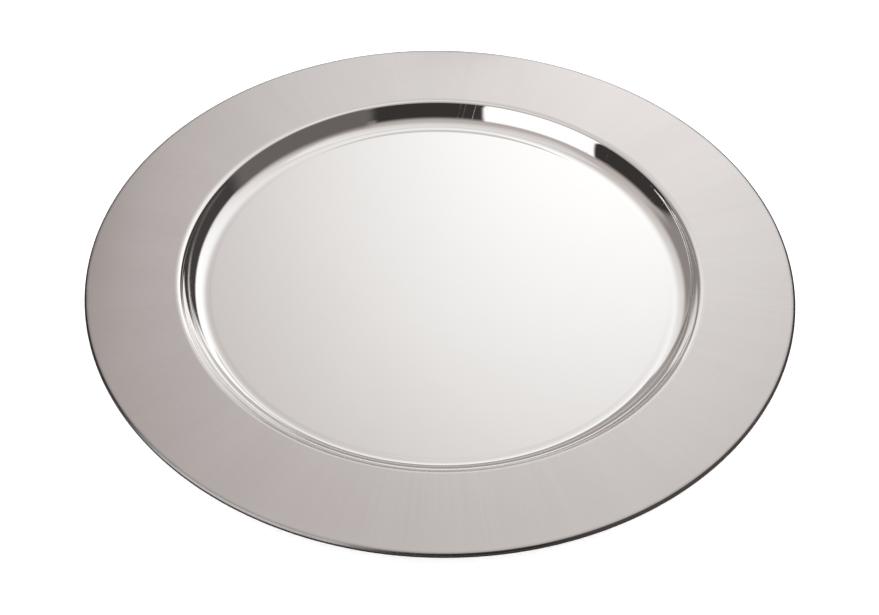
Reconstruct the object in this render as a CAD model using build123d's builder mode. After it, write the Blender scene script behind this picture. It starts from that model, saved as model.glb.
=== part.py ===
from build123d import *
import os
from math import cos, radians, sin, tan

# Round offering plate, pressed from one disc of stainless sheet, with a wired edge.
# Millimetres. +Z is up, along the plate's axis, and the origin is the centre of the
# foot ring's underside, on the surface that the plate stands on.

# Driving dimensions
plate_diameter = 305.0  # over the rolled edge
sheet = 0.5  # thickness of the pressed disc
mouth_radius = 115.0  # where the broad rim ends and the shoulder turns down
well_depth = 9.8  # from the rim's inner edge down to the foot ring, on the show side
rim_angle = 2.75  # how steeply the rim climbs towards its edge, in degrees
wall_angle = 63.0  # steepest slope of the well's wall, in degrees
shoulder_radius = 4.2  # convex turn from rim to wall, on the show side
corner_radius = 5.0  # tight concave turn where the foot ring meets the wall, on the show side
corner_angle = 26.0  # how far that tight turn goes, in degrees
cove_radius = 15.3  # broader concave turn from there up the wall, on the show side
foot_width = 0.2  # flat ring that the plate stands on
step_height = 0.07  # the floor stands this much above the foot ring
step_radius = 17.5  # both bends of that step, on the show side
wire_diameter = 1.2  # the ring of wire inside the rolled edge
wire_play = 0.02  # between the wire and the sheet round it
wire_gap = 0.4  # between the wire's two butted ends, in degrees
curl_gap = 25.0  # the curled sheet stops this far past level, short of the rim, in degrees

# Worked out from them
plate_radius = plate_diameter / 2
foot_top = sheet
bead_radius = wire_diameter / 2 + wire_play + sheet
curl_sweep = 270 + rim_angle + curl_gap
step_run = (step_height * (4 * step_radius - step_height)) ** 0.5
step_angle = Vector(2 * step_radius - step_height, step_run).get_angle(Vector(1, 0))
shoulder_run = shoulder_radius * (sin(radians(wall_angle)) - sin(radians(rim_angle)))
shoulder_drop = shoulder_radius * (cos(radians(rim_angle)) - cos(radians(wall_angle)))
corner_run = corner_radius * sin(radians(corner_angle))
corner_rise = corner_radius * (1 - cos(radians(corner_angle)))
cove_run = cove_radius * (sin(radians(wall_angle)) - sin(radians(corner_angle)))
cove_rise = cove_radius * (cos(radians(corner_angle)) - cos(radians(wall_angle)))
wall_rise = well_depth - shoulder_drop - cove_rise - corner_rise
wall_run = wall_rise / tan(radians(wall_angle))
foot_radius = mouth_radius - shoulder_run - wall_run - cove_run - corner_run
floor_radius = foot_radius - foot_width - step_run
rim_run = plate_radius - bead_radius * (1 + sin(radians(rim_angle))) - mouth_radius
bead_centre_radius = plate_radius - bead_radius
bead_centre_height = (
    foot_top + well_depth + rim_run * tan(radians(rim_angle)) - bead_radius * cos(radians(rim_angle))
)

os.makedirs("parts", exist_ok=True)

# The plate: floor, foot ring, corner, cove, wall, shoulder and rim are one sheet. Its show side is
# drawn from the axis outwards and offset by the sheet's thickness, then its edge is curled under.
with BuildPart() as plate:
    with BuildSketch(Plane.XZ):
        with BuildLine():
            floor = Line((0, foot_top + step_height), (floor_radius, foot_top + step_height))
            step_down = JernArc(floor @ 1, floor % 1, step_radius, -step_angle)
            step_out = JernArc(step_down @ 1, step_down % 1, step_radius, step_angle)
            foot = Line(step_out @ 1, (foot_radius, foot_top))
            corner = JernArc(foot @ 1, foot % 1, corner_radius, corner_angle)
            cove = JernArc(corner @ 1, corner % 1, cove_radius, wall_angle - corner_angle)
            wall = Line(cove @ 1, cove @ 1 + Vector(wall_run, wall_rise))
            shoulder = JernArc(wall @ 1, wall % 1, shoulder_radius, rim_angle - wall_angle)
            rim_top = Line(shoulder @ 1, shoulder @ 1 + rim_run * Vector(1, tan(radians(rim_angle))))
            offset(amount=sheet, side=Side.RIGHT)
        make_face()
        with BuildLine():
            curl_outside = JernArc(rim_top @ 1, rim_top % 1, bead_radius, -curl_sweep)
            inside_start = rim_top @ 1 + sheet * Vector(sin(radians(rim_angle)), -cos(radians(rim_angle)))
            curl_inside = JernArc(inside_start, rim_top % 1, bead_radius - sheet, -curl_sweep)
            Line(curl_outside @ 0, curl_inside @ 0)
            Line(curl_outside @ 1, curl_inside @ 1)
        make_face()
    revolve(axis=Axis.Z)
plate.part.label = "plate"

# The rim wire: one length of round wire bent to a ring, its ends butted, that the edge is closed on.
with BuildPart() as rim_wire:
    with BuildSketch(Plane.XZ):
        with Locations((bead_centre_radius, bead_centre_height)):
            Circle(wire_diameter / 2)
    revolve(axis=Axis.Z, revolution_arc=360 - wire_gap)
rim_wire.part.label = "rim_wire"

for piece in (plate.part, rim_wire.part):
    export_step(piece, f"parts/{piece.label}.step")
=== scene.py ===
import math

import bmesh
import bpy
from mathutils import Euler, Matrix, Vector


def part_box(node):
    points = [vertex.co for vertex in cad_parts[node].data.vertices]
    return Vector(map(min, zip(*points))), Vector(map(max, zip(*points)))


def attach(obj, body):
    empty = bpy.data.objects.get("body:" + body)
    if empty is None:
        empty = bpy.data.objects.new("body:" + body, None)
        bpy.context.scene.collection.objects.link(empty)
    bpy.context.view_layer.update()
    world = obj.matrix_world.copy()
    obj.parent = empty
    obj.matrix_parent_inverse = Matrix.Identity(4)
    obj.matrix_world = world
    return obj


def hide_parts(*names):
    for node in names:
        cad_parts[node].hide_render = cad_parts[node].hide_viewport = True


# Polished steel offering plate. Metres, in the row's frame: +Z up along the plate's axis.
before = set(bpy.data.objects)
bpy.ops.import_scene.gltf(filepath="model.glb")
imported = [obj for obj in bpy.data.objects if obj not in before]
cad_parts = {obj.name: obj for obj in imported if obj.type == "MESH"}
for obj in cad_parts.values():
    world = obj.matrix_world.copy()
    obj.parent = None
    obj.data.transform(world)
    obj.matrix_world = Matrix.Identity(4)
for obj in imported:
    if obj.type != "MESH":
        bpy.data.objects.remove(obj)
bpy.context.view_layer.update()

# The sheet's section, as the CAD model has it
SHEET = 0.0005
MOUTH_RADIUS = 0.115
WELL_DEPTH = 0.0098
RIM_ANGLE = math.radians(2.75)
WALL_ANGLE = math.radians(63.0)
SHOULDER_RADIUS = 0.0042
CORNER_RADIUS = 0.005
CORNER_ANGLE = math.radians(26.0)
COVE_RADIUS = 0.0153
FOOT_WIDTH = 0.0002
STEP_HEIGHT = 0.00007
STEP_RADIUS = 0.0175
BEAD_RADIUS = 0.00112
CURL_SWEEP = math.radians(270 + 25) + RIM_ANGLE
PLATE_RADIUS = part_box("plate")[1].x

# How finely the sheet is drawn
TURNS = 384  # facets round the plate
ARC_STEP = math.radians(2.5)  # along the section's bends, and twice that along the curl

# Steel: colours, and roughness from the smoothest spots to the dullest
WELL_DARK = (0.83, 0.815, 0.803, 1)
WELL_LIGHT = (0.85, 0.84, 0.832, 1)
RIM_DARK = (0.625, 0.595, 0.585, 1)
RIM_LIGHT = (0.655, 0.625, 0.615, 1)
# Painted shade: the bead's steel is darkened to this, standing for the dark line its curl mirrors; worn spots
# on it take the same colour
PAINTED_EDGE_SHADE_AND_WEAR = (0.31, 0.295, 0.288, 1)
UNDERSIDE_COLOUR = (0.60, 0.585, 0.57)
WIRE_COLOUR = (0.60, 0.59, 0.57)
STAIN = 0.86  # how much darker the unpolished steel is where it is stained
WELL_ROUGH = (0.028, 0.05)
RIM_ROUGH = (0.13, 0.18)
DRAWN_ROUGH = (0.26, 0.38)

# Studio
TENT_RADIUS = 0.42
VIEW_RISE = math.radians(45.5)  # of the viewer, as the tent's regions are laid out for
WARM_GREY = (1.0, 0.905, 0.875, 1)
NEAR_WHITE = (1.0, 0.995, 0.99, 1)


class Section:
    """A walk along the show side of the sheet, from the axis outwards: points, each with its heading."""

    def __init__(self, r, z):
        self.r, self.z, self.heading = r, z, 0.0
        self.points = [(r, z, 0.0)]

    def mark(self):
        self.points.append((self.r, self.z, self.heading))

    def line(self, length, parts=(1.0,)):
        """Straight on, with a point at each part of the length."""
        start_r, start_z = self.r, self.z
        for part in parts:
            self.r = start_r + math.cos(self.heading) * length * part
            self.z = start_z + math.sin(self.heading) * length * part
            self.mark()

    def arc(self, radius, turn):
        """A bend, upwards where turn is positive."""
        lever = math.copysign(radius, turn)
        centre_r = self.r - lever * math.sin(self.heading)
        centre_z = self.z + lever * math.cos(self.heading)
        step = ARC_STEP if abs(turn) < math.pi else 2 * ARC_STEP
        steps = max(3, math.ceil(abs(turn) / step))
        first = self.heading
        for k in range(1, steps + 1):
            self.heading = first + turn * k / steps
            self.r = centre_r + lever * math.sin(self.heading)
            self.z = centre_z - lever * math.cos(self.heading)
            self.mark()


def sheet_section():
    """The show side's walk: floor, step, foot ring, corner, cove, wall, shoulder, rim and curled edge."""
    step_run = math.sqrt(STEP_HEIGHT * (4 * STEP_RADIUS - STEP_HEIGHT))
    step_turn = math.atan2(step_run, 2 * STEP_RADIUS - STEP_HEIGHT)
    shoulder_run = SHOULDER_RADIUS * (math.sin(WALL_ANGLE) - math.sin(RIM_ANGLE))
    shoulder_drop = SHOULDER_RADIUS * (math.cos(RIM_ANGLE) - math.cos(WALL_ANGLE))
    corner_run = CORNER_RADIUS * math.sin(CORNER_ANGLE)
    corner_rise = CORNER_RADIUS * (1 - math.cos(CORNER_ANGLE))
    cove_run = COVE_RADIUS * (math.sin(WALL_ANGLE) - math.sin(CORNER_ANGLE))
    cove_rise = COVE_RADIUS * (math.cos(CORNER_ANGLE) - math.cos(WALL_ANGLE))
    wall_length = (WELL_DEPTH - shoulder_drop - cove_rise - corner_rise) / math.sin(WALL_ANGLE)
    wall_run = wall_length * math.cos(WALL_ANGLE)
    foot_radius = MOUTH_RADIUS - shoulder_run - wall_run - cove_run - corner_run
    floor_radius = foot_radius - FOOT_WIDTH - step_run
    rim_run = PLATE_RADIUS - BEAD_RADIUS * (1 + math.sin(RIM_ANGLE)) - MOUTH_RADIUS
    walk = Section(0.0, SHEET + STEP_HEIGHT)
    walk.line(floor_radius, (0.05, 0.15, 0.3, 0.45, 0.6, 0.75, 0.9, 0.98, 0.998, 1.0))
    walk.arc(STEP_RADIUS, -step_turn)
    walk.arc(STEP_RADIUS, step_turn)
    walk.line(FOOT_WIDTH, (0.5, 1.0))
    walk.arc(CORNER_RADIUS, CORNER_ANGLE)
    walk.arc(COVE_RADIUS, WALL_ANGLE - CORNER_ANGLE)
    walk.line(wall_length, (0.5, 1.0))
    walk.arc(SHOULDER_RADIUS, RIM_ANGLE - WALL_ANGLE)
    walk.line(rim_run / math.cos(RIM_ANGLE), (0.02, 0.12, 0.3, 0.5, 0.7, 0.88, 0.98, 1.0))
    walk.arc(BEAD_RADIUS, -CURL_SWEEP)
    return walk.points


def turned(profile, turns):
    """Each (r, z) of a profile turned about the axis into a ring of points, ring after ring."""
    angles = [2 * math.pi * k / turns for k in range(turns)]
    return [(r * math.cos(a), r * math.sin(a), z) for r, z in profile for a in angles]


def quads_between(rings, turns):
    """The faces between that many rings of points, each ring joined to the next."""
    faces = []
    for inner in range(0, (rings - 1) * turns, turns):
        outer = inner + turns
        for k in range(turns):
            beside = (k + 1) % turns
            faces.append((inner + k, outer + k, outer + beside, inner + beside))
    return faces


def add_object(name, data):
    made = bpy.data.objects.new(name, data)
    bpy.context.scene.collection.objects.link(made)
    return made


def add_smooth_mesh(name, verts, faces):
    mesh = bpy.data.meshes.new(name)
    mesh.from_pydata(verts, [], faces)
    mesh.polygons.foreach_set("use_smooth", [True] * len(faces))
    mesh.update()
    return add_object(name, mesh)


def lathe_sheet(name, show):
    """Turns the sheet's section, closed by its underside, about the axis. Material 0 shows, 1 is beneath."""
    coarse = show[:1] + show[1:-1:2] + show[-1:]
    under = [(r + SHEET * math.sin(a), z - SHEET * math.cos(a), a) for r, z, a in reversed(coarse)]
    outline = [(r, z) for r, z, _ in show + under]
    facing = [(-math.sin(a), math.cos(a)) for _, _, a in show]
    facing += [(math.sin(a), -math.cos(a)) for _, _, a in under]
    # the outline starts and ends on the axis, where a fan of triangles closes it
    rings = len(outline) - 2
    verts = turned(outline[1:-1], TURNS) + [(0, 0, outline[0][1]), (0, 0, outline[-1][1])]
    normals = turned(facing[1:-1], TURNS) + [(0, 0, 1), (0, 0, -1)]
    last_ring, top, bottom = (rings - 1) * TURNS, rings * TURNS, rings * TURNS + 1
    neighbours = [(k, (k + 1) % TURNS) for k in range(TURNS)]
    faces = quads_between(rings, TURNS)
    faces += [(top, k, beside) for k, beside in neighbours]
    faces += [(bottom, last_ring + beside, last_ring + k) for k, beside in neighbours]
    shown = (len(show) - 2) * TURNS
    material = [0] * shown + [1] * (last_ring - shown) + [0] * TURNS + [1] * TURNS
    piece = add_smooth_mesh(name, verts, faces)
    piece.data.polygons.foreach_set("material_index", material)
    piece.data.normals_split_custom_set_from_vertices(normals)
    return piece


class Graph:
    """A material in the making: its shader, and short names for wiring nodes into it."""

    def __init__(self, name, shader):
        self.material = bpy.data.materials.new(name)
        self.material.use_nodes = True
        self.tree = self.material.node_tree
        self.tree.nodes.clear()
        self.shader = self.node(shader)
        out = self.node("ShaderNodeOutputMaterial")
        self.tree.links.new(self.shader.outputs[0], out.inputs["Surface"])

    def node(self, kind, **settings):
        made = self.tree.nodes.new(kind)
        for key, value in settings.items():
            setattr(made, key, value)
        return made

    def put(self, socket, value):
        """Links a socket to another's output, or sets a plain value on it."""
        if isinstance(value, bpy.types.NodeSocket):
            self.tree.links.new(value, socket)
        else:
            socket.default_value = value

    def feed(self, name, value):
        """Puts a value on the shader's socket of that name."""
        self.put(self.shader.inputs[name], value)

    def wired(self, kind, values, **settings):
        """A new node with its first sockets fed in order."""
        made = self.node(kind, **settings)
        for socket, value in zip(made.inputs, values):
            self.put(socket, value)
        return made

    def math(self, operation, *values):
        return self.wired("ShaderNodeMath", values, operation=operation).outputs[0]

    def plus(self, a, b):
        return self.math("ADD", a, b)

    def minus(self, a, b):
        return self.math("SUBTRACT", a, b)

    def times(self, first, *others):
        for other in others:
            first = self.math("MULTIPLY", first, other)
        return first

    def vector(self, operation, *values):
        made = self.wired("ShaderNodeVectorMath", values, operation=operation)
        return made.outputs["Value" if operation == "LENGTH" else "Vector"]

    def parts(self, vector):
        """A vector's X, Y and Z."""
        return self.wired("ShaderNodeSeparateXYZ", (vector,)).outputs

    def ramp(self, value, low, high, to_low=0.0, to_high=1.0):
        """A smooth step from to_low to to_high while value goes from low to high."""
        values = (value, low, high, to_low, to_high)
        return self.wired("ShaderNodeMapRange", values, interpolation_type="SMOOTHSTEP").outputs[0]

    def band(self, value, start, rise, end, fall):
        """1 from start + rise to end - fall, falling smoothly to 0 at start and at end."""
        return self.times(self.ramp(value, start, start + rise), self.ramp(value, end - fall, end, 1.0, 0.0))

    def blend(self, factor, a, b):
        made = self.node("ShaderNodeMix", data_type="FLOAT")
        self.put(made.inputs["Factor"], factor)
        self.put(made.inputs["A"], a)
        self.put(made.inputs["B"], b)
        return made.outputs["Result"]

    def tint(self, factor, a, b):
        """Blends two colours. The Mix node has a set of sockets for each type, and colour's come last."""
        made = self.node("ShaderNodeMix", data_type="RGBA")
        self.put(made.inputs[0], factor)
        self.put(made.inputs[6], a)
        self.put(made.inputs[7], b)
        return made.outputs[2]

    def noise(self, vector, scale, detail=2.0):
        made = self.node("ShaderNodeTexNoise")
        self.put(made.inputs["Vector"], vector)
        made.inputs["Scale"].default_value = scale
        made.inputs["Detail"].default_value = detail
        return made.outputs["Fac"]


class Steel(Graph):
    """A stainless steel, with the plate's own coordinates to pattern it by."""

    def __init__(self, name):
        super().__init__(name, "ShaderNodeBsdfPrincipled")
        self.feed("Metallic", 1.0)
        self.place = self.node("ShaderNodeTexCoord").outputs["Object"]
        flat = self.vector("MULTIPLY", self.place, (1, 1, 0))
        self.radius = self.vector("LENGTH", flat)
        self.outward = self.vector("NORMALIZE", flat)

    def stretched(self, round_scale, radius_scale, detail=2.0):
        """Noise in polar coordinates: a high radius_scale gives rings, a high round_scale gives rays."""
        spin = self.vector("MULTIPLY", self.outward, (round_scale, round_scale, 0))
        reach = self.wired("ShaderNodeCombineXYZ", (0.0, 0.0, self.times(self.radius, radius_scale)))
        return self.noise(self.vector("ADD", spin, reach.outputs[0]), 1.0, detail)

    def hairlines(self, angle, rarity):
        """Fine straight scratches, all at one angle: rarity near 1 leaves few."""
        turn = self.node("ShaderNodeVectorRotate", rotation_type="Z_AXIS")
        self.put(turn.inputs["Vector"], self.place)
        turn.inputs["Angle"].default_value = math.radians(angle)
        thin = self.vector("MULTIPLY", turn.outputs[0], (2600.0, 34.0, 34.0))
        return self.ramp(self.noise(thin, 1.0, 1.0), rarity, rarity + 0.05)

    def relief(self, *layers):
        """Bump from (height 0 to 1, depth in metres) layers, one on top of the other."""
        normal = None
        for height, depth in layers:
            bump = self.node("ShaderNodeBump")
            bump.inputs["Distance"].default_value = depth
            self.put(bump.inputs["Height"], height)
            if normal is not None:
                self.put(bump.inputs["Normal"], normal)
            normal = bump.outputs["Normal"]
        self.feed("Normal", normal)


def show_steel():
    """Mirror-polished in the well and down its wall, buffed to a warmer satin on the rim, with painted shade
    darkening the bead.
    """
    g = Steel("polished steel")
    rim = g.ramp(g.radius, MOUTH_RADIUS - 0.0019, MOUTH_RADIUS - 0.0007)
    bead = g.ramp(g.radius, PLATE_RADIUS - 2 * BEAD_RADIUS, PLATE_RADIUS)
    clouds = g.noise(g.place, 16.0, 3.0)
    ripple = g.noise(g.place, 55.0, 1.0)
    rays = g.stretched(9.0, 5.0)
    grain = g.stretched(170.0, 14.0)
    rings = g.stretched(3.0, 1800.0, 3.0)
    worn = g.times(bead, g.ramp(g.stretched(16.0, 240.0, 3.0), 0.42, 0.62))
    handling = g.math("MAXIMUM", g.hairlines(24.0, 0.70), g.hairlines(-52.0, 0.71))
    handling = g.math("MAXIMUM", handling, g.hairlines(83.0, 0.72))

    streak = g.plus(g.plus(g.times(rays, 0.4), g.times(clouds, 0.3)), g.times(grain, 0.3))
    rim_colour = g.tint(g.ramp(streak, 0.3, 0.7), RIM_DARK, RIM_LIGHT)
    colour = g.tint(rim, g.tint(clouds, WELL_DARK, WELL_LIGHT), rim_colour)
    # Painted shade: the bead is darkened towards the edge colour, standing for the dark line the curled edge
    # mirrors; the worn spots on the next line are wear
    colour = g.tint(g.times(bead, 0.9), colour, PAINTED_EDGE_SHADE_AND_WEAR)
    g.feed("Base Color", g.tint(g.times(worn, 0.5), colour, PAINTED_EDGE_SHADE_AND_WEAR))

    well_rough = g.ramp(clouds, 0.35, 0.7, *WELL_ROUGH)
    rim_rough = g.plus(g.ramp(rings, 0.3, 0.7, *RIM_ROUGH), g.times(clouds, 0.02))
    rough = g.plus(g.blend(rim, well_rough, rim_rough), g.times(handling, 0.07))
    g.feed("Roughness", g.plus(rough, g.times(g.plus(bead, worn), 0.1)))
    g.relief(
        (ripple, 0.000035),
        (g.times(rings, rim), 0.000004),
        (g.times(handling, -1.0), 0.000003),
        (g.times(worn, -1.0), 0.00001),
    )
    return g.material


def drawn_steel(name, colour, round_scale, radius_scale):
    """Unpolished steel, with the marks of the rolls or the die: the plate's underside and the wire."""
    g = Steel(name)
    marks = g.stretched(round_scale, radius_scale, 3.0)
    stain = g.noise(g.place, 22.0, 4.0)
    stained = tuple(STAIN * part for part in colour)
    g.feed("Base Color", g.tint(g.ramp(stain, 0.35, 0.7), (*colour, 1), (*stained, 1)))
    g.feed("Roughness", g.plus(g.ramp(marks, 0.3, 0.7, *DRAWN_ROUGH), g.times(g.hairlines(37.0, 0.66), 0.1)))
    g.relief((stain, 0.00008), (marks, 0.000008))
    return g.material


def build_plate():
    piece = lathe_sheet("plate_sheet", sheet_section())
    piece.data.materials.append(show_steel())
    piece.data.materials.append(drawn_steel("steel underside", UNDERSIDE_COLOUR, 2.0, 900.0))
    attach(piece, "root")
    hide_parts("plate")


def finish_wire():
    """The ring of wire stays as the CAD model has it, and gets its own steel."""
    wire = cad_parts["rim_wire"]
    wire.data.materials.clear()
    wire.data.materials.append(drawn_steel("wire steel", WIRE_COLOUR, 8.0, 4000.0))


def build_sweep():
    """The studio's pale floor, turning up into a round wall a long way off."""
    turns, centre, flat, bend, wall = 96, 0.001, 2.0, 0.5, 3.0
    walk = Section(centre, 0.0)
    walk.line(flat, (0.1, 0.5, 1.0))
    walk.arc(bend, math.pi / 2)
    walk.line(wall)
    profile = [(r, z) for r, z, _ in walk.points]
    faces = [tuple(range(turns))] + quads_between(len(profile), turns)
    sweep = add_smooth_mesh("studio_sweep", turned(profile, turns), faces)
    pale = Graph("pale sweep", "ShaderNodeBsdfPrincipled")
    pale.feed("Base Color", (0.86, 0.86, 0.86, 1))
    pale.feed("Roughness", 0.9)
    pale.feed("Emission Color", (1.0, 1.0, 1.0, 1))
    pale.feed("Emission Strength", 0.56)
    sweep.data.materials.append(pale.material)
    sweep.visible_glossy = False


def light_sweep():
    """A broad soft lamp overhead and a plain white surround. The steel mirrors neither, only the light tent."""
    lamp = bpy.data.lights.new("overhead", "AREA")
    lamp.shape = "DISK"
    lamp.size = 2.4
    lamp.energy = 9.0
    overhead = add_object("overhead", lamp)
    overhead.location = (0.0, 0.0, 1.6)
    overhead.visible_glossy = False
    world = bpy.data.worlds.new("white surround")
    bpy.context.scene.world = world
    world.use_nodes = True
    surround = world.node_tree.nodes["Background"]
    surround.inputs["Color"].default_value = (1.0, 1.0, 1.0, 1)
    surround.inputs["Strength"].default_value = 0.35


class Tent(Graph):
    """The tent's inside, lit region by region. A spot on it is named by the facet that mirrors it to a viewer
    at VIEW_RISE, in degrees: lean is that facet's slope, lean_x and lean_y are its two parts, and bearing is
    where on a bowl's wall such a facet sits. height is the spot's own, from 0 at the floor to 1 overhead."""

    def __init__(self, name):
        super().__init__(name, "ShaderNodeEmission")
        way = self.vector("NORMALIZE", self.node("ShaderNodeTexCoord").outputs["Object"])
        viewer = (0.0, -math.cos(VIEW_RISE), math.sin(VIEW_RISE))
        facet_x, facet_y, facet_z = self.parts(self.vector("NORMALIZE", self.vector("ADD", way, viewer)))
        slope = self.math("ARCCOSINE", facet_z)
        self.lean = self.math("DEGREES", slope)
        spread = self.math("DIVIDE", self.lean, self.math("SINE", slope))
        self.lean_x = self.times(facet_x, spread)
        self.lean_y = self.times(facet_y, spread)
        inward = self.math("ARCTAN2", self.times(self.lean_y, -1.0), self.times(self.lean_x, -1.0))
        self.bearing = self.math("DEGREES", inward)
        self.height = self.parts(way)[2]
        self.level = 0.0

    def light(self, where, level):
        """Gives a region, a mask from 0 to 1, its own brightness."""
        self.level = self.blend(where, self.level, level)

    def scale(self, where, factor):
        """Brightens or dims a region."""
        self.level = self.times(self.level, self.blend(where, 1.0, factor))


def key_panel(t):
    """Brightest off to the right of the plate's middle, and fading outwards."""
    across = t.minus(t.lean_x, 18.7)
    across = t.times(across, t.ramp(across, -2.0, 2.0, 0.23, 0.4))
    along = t.times(t.minus(t.lean_y, 11.5), 0.33)
    offside = t.math("SQRT", t.plus(t.times(across, across), t.times(along, along)))
    t.level = t.ramp(offside, 0.0, 13.5, 1.3, 0.55)


def second_panel(t):
    """Overhead."""
    t.scale(t.times(t.band(t.lean_y, -25.0, 5.0, -11.6, 2.4), t.band(t.lean_x, -15.0, 4.0, 15.0, 4.0)), 1.3)


def far_sides(t):
    """Less light far off to either side."""
    t.scale(t.band(t.math("ABSOLUTE", t.lean_x), 31.0, 6.0, 52.0, 8.0), 0.4)


def grey_room(t):
    """Off to the viewer's left, where the wall on the plate's right looks."""
    room = t.times(t.ramp(t.lean, 18.5, 26.5), t.band(t.lean_y, -13.0, 8.0, 20.0, 12.0))
    t.light(t.times(room, t.ramp(t.lean_x, -16.0, -10.0, 1.0, 0.0)), 0.30)


def under_panel(t):
    """Grey under the key panel's lower edge, but for a flap of white that hangs below it."""
    grey = t.blend(t.band(t.lean_x, -26.0, 18.0, 34.0, 10.0), 0.24, 0.42)
    grey = t.times(grey, t.ramp(t.lean_y, 19.0, 30.0, 1.0, 0.25))
    edge = t.plus(t.ramp(t.lean_x, 5.0, 9.5, 9.1, 18.1), t.ramp(t.lean_x, -9.0, -1.0, 5.0, 0.0))
    flap = t.times(t.ramp(t.lean_x, 0.2, 1.6), t.band(t.lean_y, 11.2, 1.8, 19.5, 1.8))
    t.light(t.times(t.ramp(t.minus(t.lean_y, edge), -0.9, 0.9), t.blend(flap, 1.0, 0.0)), grey)


def dark_side(t):
    """Dark past the key panel's slanted, bowed right side, down to a grey strip."""
    bow = t.times(t.lean_y, t.plus(t.times(t.lean_y, 0.022), 0.42))
    past = t.ramp(t.plus(t.lean_x, bow), 22.8, 27.8)
    t.light(t.times(past, t.ramp(t.lean_y, 13.0, 18.0, 1.0, 0.0)), 0.06)
    t.light(t.times(t.ramp(t.lean, 22.0, 34.0), t.band(t.bearing, 107.0, 4.0, 158.0, 7.0)), 0.155)


def behind_viewer(t):
    """Dark, with one tall bright window."""
    dark = t.times(t.ramp(t.lean, 26.5, 35.5), t.band(t.bearing, 5.0, 3.0, 110.0, 3.0))
    t.light(t.times(dark, t.ramp(t.lean_y, -13.0, -9.5, 1.0, 0.0)), 0.042)
    t.light(t.times(t.ramp(t.lean, 28.5, 34.0), t.band(t.bearing, 46.2, 1.4, 80.2, 1.4)), 1.3)


def horizon(t):
    """The pale floor's far edge, fainter ahead of the viewer, and the dark under it."""
    low = t.times(t.ramp(t.lean, 55.0, 59.0), t.ramp(t.height, 0.08, 0.14, 1.0, 0.0))
    t.light(t.times(low, t.ramp(t.lean_y, 22.0, 36.0, 1.0, 0.2)), 0.45)
    t.light(t.ramp(t.height, -0.06, 0.0, 1.0, 0.0), 0.07)


def tent_light():
    """Each region covers the ones before it, where they overlap."""
    t = Tent("tent light")
    key_panel(t)
    second_panel(t)
    far_sides(t)
    grey_room(t)
    under_panel(t)
    dark_side(t)
    behind_viewer(t)
    horizon(t)
    t.feed("Color", t.tint(t.ramp(t.level, 0.3, 1.1), WARM_GREY, NEAR_WHITE))
    t.feed("Strength", t.level)
    return t.material


def build_tent():
    """A light tent round the plate, seen only as the steel mirrors it."""
    shape = bmesh.new()
    bmesh.ops.create_icosphere(shape, subdivisions=6, radius=TENT_RADIUS)
    mesh = bpy.data.meshes.new("light_tent")
    shape.to_mesh(mesh)
    shape.free()
    mesh.materials.append(tent_light())
    tent = add_object("light_tent", mesh)
    for use in ("camera", "diffuse", "shadow", "transmission", "volume_scatter"):
        setattr(tent, f"visible_{use}", False)


def aim_camera():
    """At the photograph's angle: an ordinary lens, a little over half a metre off, tipped a little sideways."""
    lens_mm, sensor_mm = 56.03, 36.0
    distance = 3.91448 * PLATE_RADIUS
    rise, look_down = math.radians(44.471), math.radians(46.423)
    pan, roll = math.radians(0.021), math.radians(1.086)
    camera = bpy.data.cameras.new("camera")
    camera.lens = lens_mm
    camera.sensor_width = sensor_mm
    camera.sensor_fit = "HORIZONTAL"
    camera.clip_start = 0.01
    rim_height = SHEET + WELL_DEPTH
    stand = Vector((0.0, -distance * math.cos(rise), rim_height + distance * math.sin(rise)))
    aim = Matrix.Rotation(pan, 3, "Z") @ Euler((math.pi / 2 - look_down, 0.0, 0.0)).to_matrix()
    aim = aim @ Matrix.Rotation(roll, 3, "Z")
    holder = add_object("camera", camera)
    holder.matrix_world = Matrix.Translation(stand) @ aim.to_4x4()
    bpy.context.scene.camera = holder


def set_view():
    settings = bpy.context.scene.view_settings
    settings.view_transform = "Standard"
    settings.look = "None"


build_plate()
finish_wire()
build_sweep()
light_sweep()
build_tent()
aim_camera()
set_view()
